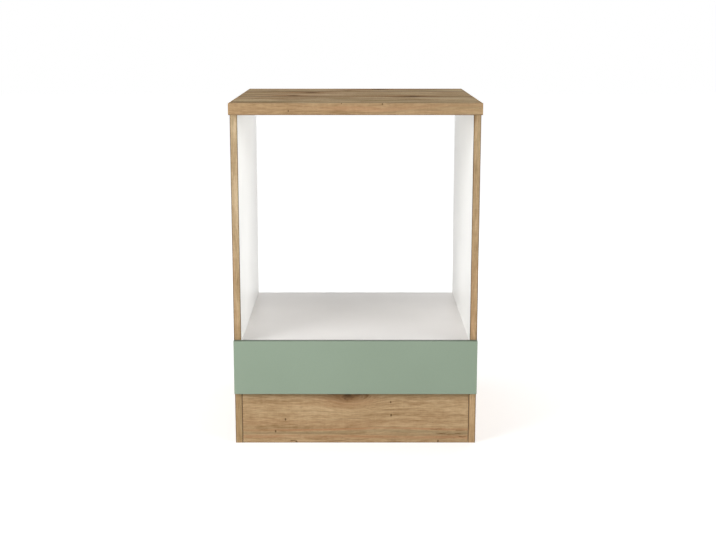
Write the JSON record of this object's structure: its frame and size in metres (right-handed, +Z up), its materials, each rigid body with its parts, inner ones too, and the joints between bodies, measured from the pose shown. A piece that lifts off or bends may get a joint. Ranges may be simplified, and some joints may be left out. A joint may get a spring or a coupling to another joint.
{
  "type": "cooker base cabinet",
  "caption": "Kitchen base cabinet for a built-in oven: open niche under an oak-look worktop, shallow drawer with a sage green front on roller rails, and an oak-look plinth.",
  "frame": {"origin": "centre of the footprint, on the floor", "axes": "+X to the right as seen from the front, the open niche and the drawer front face -Y, +Z up"},
  "size_m": [0.6, 0.6, 0.85],
  "materials": {
    "oak_board": "knotty oak decor, matt",
    "oak_edge": "oak edge banding, matt",
    "white_board": "white melamine-faced board, satin",
    "white_edge": "white edge banding",
    "white_hardboard": "white lacquered hardboard",
    "green_front": "sage green lacquer, matt",
    "white_nylon": "white nylon",
    "clear_bumper": "translucent soft plastic",
    "white_steel": "white epoxy-coated steel sheet",
    "zinc": "zinc-plated steel",
    "beech": "plain beech"
  },
  "bodies": {
    "carcass": {"left_side_panel": "oak_board", "right_side_panel": "oak_board", "left_side_edge": "oak_edge", "right_side_edge": "oak_edge", "bottom_panel": "white_board", "bottom_edge": "white_edge", "oven_shelf": "white_board", "shelf_edge": "white_edge", "rear_stretcher": "white_board", "lower_back_panel": "white_hardboard", "plinth_panel": "oak_board", "plinth_blocks": "white_nylon", "plinth_block_screws": "zinc", "worktop": "oak_board", "worktop_front_strip": "oak_edge", "worktop_side_strips": "oak_edge", "worktop_angles": "zinc", "worktop_angle_screws": "zinc", "stretcher_screws": "zinc", "carcass_cams": "zinc", "carcass_cam_bolts": "zinc", "carcass_dowels": "beech", "left_cabinet_rail": "white_steel", "right_cabinet_rail": "white_steel", "cabinet_rail_screws": "zinc", "cabinet_roller_rivets": "zinc"},
    "drawer": {"drawer_front": "green_front", "drawer_left_side": "white_board", "drawer_right_side": "white_board", "drawer_back": "white_board", "drawer_base": "white_hardboard", "drawer_cams": "zinc", "drawer_cam_bolts": "zinc", "drawer_dowels": "beech", "drawer_back_screws": "zinc", "drawer_base_screws": "zinc", "left_drawer_rail": "white_steel", "right_drawer_rail": "white_steel", "drawer_rail_screws": "zinc", "drawer_roller_rivets": "zinc", "front_bumpers": "clear_bumper"},
    "left_cabinet_roller": {"left_cabinet_roller": "white_nylon"},
    "right_cabinet_roller": {"right_cabinet_roller": "white_nylon"},
    "left_drawer_roller": {"left_drawer_roller": "white_nylon"},
    "right_drawer_roller": {"right_drawer_roller": "white_nylon"}
  },
  "joints": [
    {"name": "drawer_slide", "type": "slide", "parent": "carcass", "child": "drawer", "axis": [0, -1, 0], "range_m": [0, 0.375]},
    {"name": "left_cabinet_roller_turn", "type": "hinge", "parent": "carcass", "child": "left_cabinet_roller", "pos_m": [-0.2767, -0.2457, 0.1671], "axis": [1, 0, 0], "range_deg": [-5, 1910]},
    {"name": "left_drawer_roller_turn", "type": "hinge", "parent": "drawer", "child": "left_drawer_roller", "pos_m": [-0.2759, 0.2175, 0.1668], "axis": [1, 0, 0], "range_deg": [-5, 1910]},
    {"name": "right_cabinet_roller_turn", "type": "hinge", "parent": "carcass", "child": "right_cabinet_roller", "pos_m": [0.2767, -0.2457, 0.1671], "axis": [1, 0, 0], "range_deg": [-5, 1910]},
    {"name": "right_drawer_roller_turn", "type": "hinge", "parent": "drawer", "child": "right_drawer_roller", "pos_m": [0.2759, 0.2175, 0.1668], "axis": [1, 0, 0], "range_deg": [-5, 1910]}
  ],
  "couplings": [
    {"joint": "left_cabinet_roller_turn", "follows": "drawer_slide", "rad_per_m": 88.496},
    {"joint": "left_drawer_roller_turn", "follows": "drawer_slide", "rad_per_m": 88.496},
    {"joint": "right_cabinet_roller_turn", "follows": "drawer_slide", "rad_per_m": 88.496},
    {"joint": "right_drawer_roller_turn", "follows": "drawer_slide", "rad_per_m": 88.496}
  ]
}
